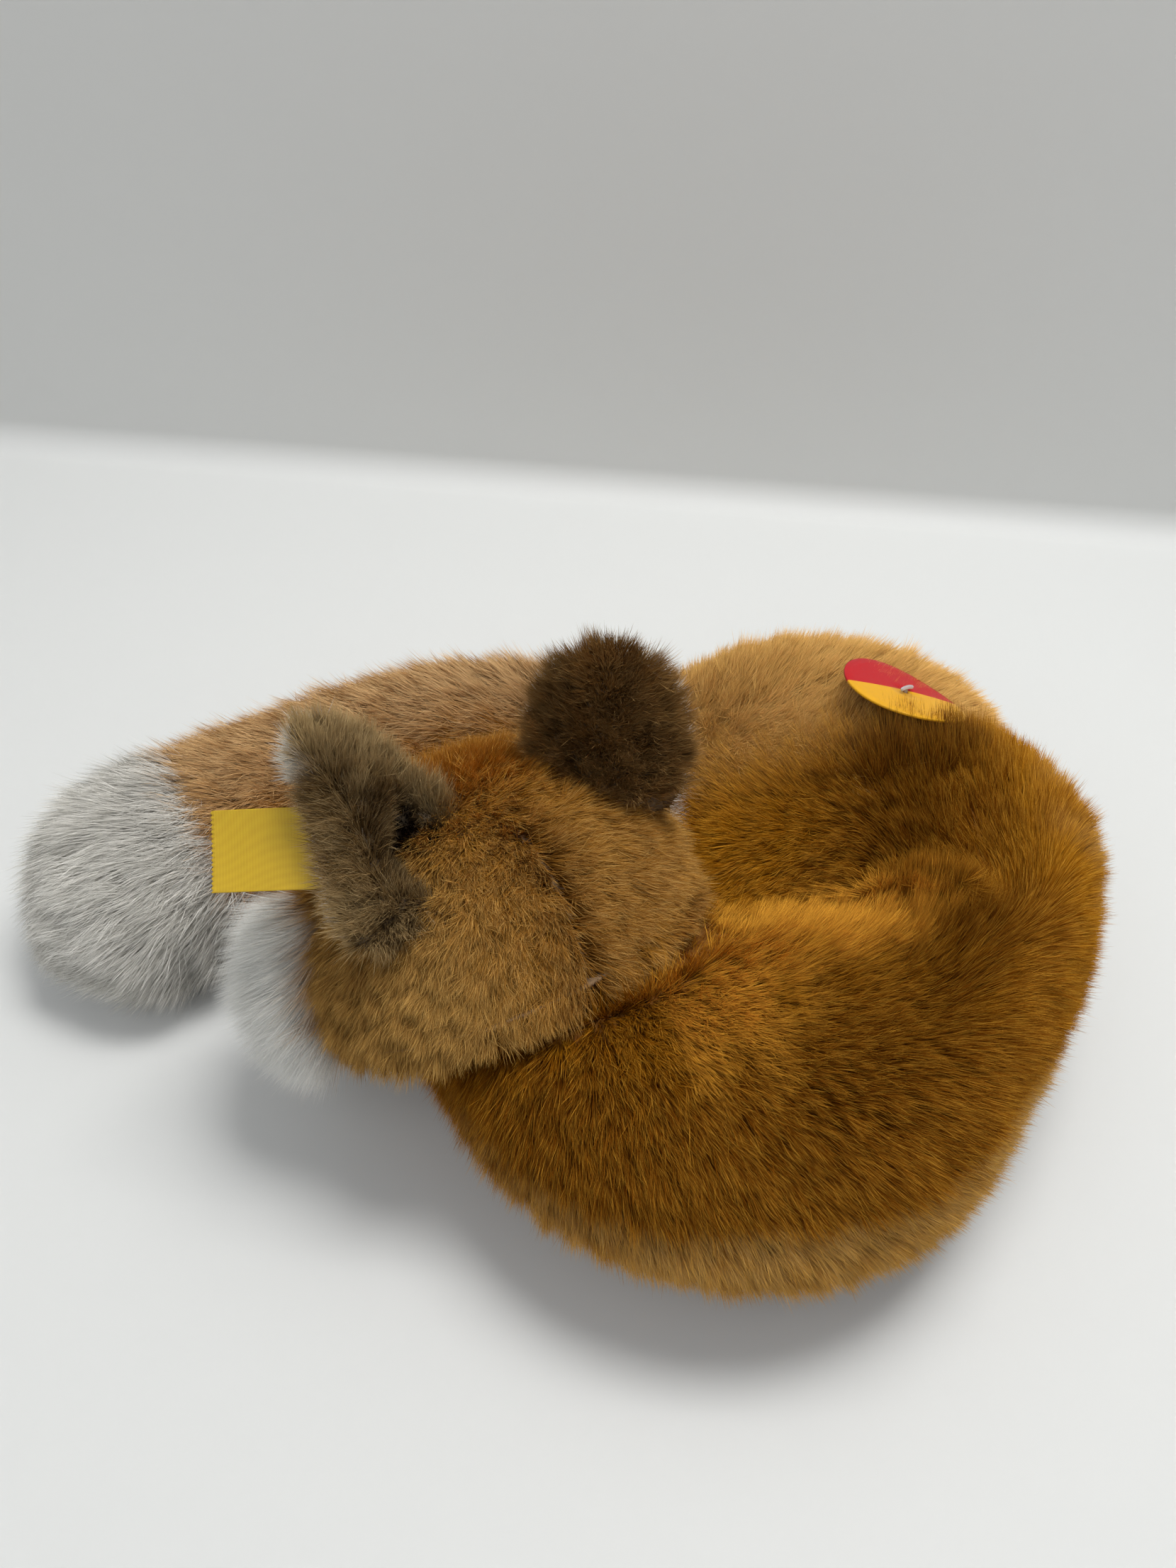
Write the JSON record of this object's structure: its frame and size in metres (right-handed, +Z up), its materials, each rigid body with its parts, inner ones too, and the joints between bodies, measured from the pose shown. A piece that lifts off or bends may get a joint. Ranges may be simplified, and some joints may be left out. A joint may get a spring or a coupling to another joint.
{
  "type": "plush fox",
  "caption": "Plush fox curled up asleep, with a bushy tail round its nose, a head that lifts, ears that flex, an ear label and a round hang tag.",
  "frame": {"origin": "bottom centre of the bounding box, on the surface the fox lies on", "axes": "+X along the longest extent, from the tail tip to the bend of the body; +Z up"},
  "size_m": [0.2932, 0.1934, 0.1283],
  "materials": {
    "back_panel": "long-pile plush",
    "belly_panel": "long-pile plush",
    "torso_stuffing": "loose polyester fibre",
    "haunch_cover": "long-pile plush",
    "haunch_stuffing": "loose polyester fibre",
    "crown_cover": "long-pile plush",
    "cheek_left_cover": "long-pile plush",
    "cheek_right_cover": "long-pile plush",
    "muzzle_cover": "long-pile plush",
    "chin_cover": "long-pile plush",
    "head_stuffing": "loose polyester fibre",
    "nose": "satin",
    "eyelid_left": "stitched thread",
    "eyelid_right": "stitched thread",
    "ear_left_back": "long-pile plush",
    "ear_left_front": "long-pile plush",
    "ear_right_back": "long-pile plush",
    "ear_right_front": "long-pile plush",
    "ear_label": "woven tape",
    "tail_cover": "long-pile plush",
    "tail_tip_cover": "long-pile plush",
    "tail_stuffing": "loose polyester fibre",
    "tag_disc": "satin",
    "tag_fastener": "clear nylon",
    "forepaw_left_cover": "long-pile plush",
    "forepaw_left_stuffing": "loose polyester fibre",
    "forepaw_right_cover": "long-pile plush",
    "forepaw_right_stuffing": "loose polyester fibre",
    "hindpaw_inner_cover": "long-pile plush",
    "hindpaw_inner_stuffing": "loose polyester fibre",
    "hindpaw_outer_cover": "long-pile plush",
    "hindpaw_outer_stuffing": "loose polyester fibre"
  },
  "bodies": {
    "torso": {"back_panel": "back_panel", "belly_panel": "belly_panel", "torso_stuffing": "torso_stuffing", "haunch_cover": "haunch_cover", "haunch_stuffing": "haunch_stuffing", "tag_fastener": "tag_fastener", "forepaw_left_cover": "forepaw_left_cover", "forepaw_left_stuffing": "forepaw_left_stuffing", "forepaw_right_cover": "forepaw_right_cover", "forepaw_right_stuffing": "forepaw_right_stuffing", "hindpaw_inner_cover": "hindpaw_inner_cover", "hindpaw_inner_stuffing": "hindpaw_inner_stuffing", "hindpaw_outer_cover": "hindpaw_outer_cover", "hindpaw_outer_stuffing": "hindpaw_outer_stuffing"},
    "head": {"crown_cover": "crown_cover", "cheek_left_cover": "cheek_left_cover", "cheek_right_cover": "cheek_right_cover", "muzzle_cover": "muzzle_cover", "chin_cover": "chin_cover", "head_stuffing": "head_stuffing", "nose": "nose", "eyelid_left": "eyelid_left", "eyelid_right": "eyelid_right"},
    "ear_left": {"ear_left_back": "ear_left_back", "ear_left_front": "ear_left_front"},
    "ear_right": {"ear_right_back": "ear_right_back", "ear_right_front": "ear_right_front"},
    "ear_label": {"ear_label": "ear_label"},
    "tail": {"tail_cover": "tail_cover", "tail_tip_cover": "tail_tip_cover", "tail_stuffing": "tail_stuffing"},
    "tag": {"tag_disc": "tag_disc"}
  },
  "joints": [
    {"name": "head_lift", "type": "hinge", "parent": "torso", "child": "head", "pos_m": [0.01824, -0.04083, 0.06853], "axis": [0.829, 0.5592, 0], "range_deg": [0, 15]},
    {"name": "ear_left_flex", "type": "hinge", "parent": "head", "child": "ear_left", "pos_m": [-0.02393, -0.02838, 0.09372], "axis": [0.1902, 0.9662, 0.174], "range_deg": [-12, 12], "stiffness_Nm_per_rad": 0.02},
    {"name": "ear_right_flex", "type": "hinge", "parent": "head", "child": "ear_right", "pos_m": [0.01255, -0.00378, 0.08999], "axis": [0.9862, -0.1574, -0.051], "range_deg": [-12, 12], "stiffness_Nm_per_rad": 0.02},
    {"name": "label_flap", "type": "hinge", "parent": "ear_left", "child": "ear_label", "pos_m": [-0.04041, -0.02867, 0.09795], "axis": [0.0382, -0.7872, -0.6156], "range_deg": [-20, 20], "stiffness_Nm_per_rad": 0.002},
    {"name": "tail_swing", "type": "hinge", "parent": "torso", "child": "tail", "pos_m": [0.00794, 0.09885, 0], "axis": [0, 0, -1], "range_deg": [0, 25]},
    {"name": "tag_spin", "type": "hinge", "parent": "torso", "child": "tag", "pos_m": [0.09034, 0.03659, 0.07097], "axis": [0.31, 0.31, 0.8988], "continuous": true}
  ]
}
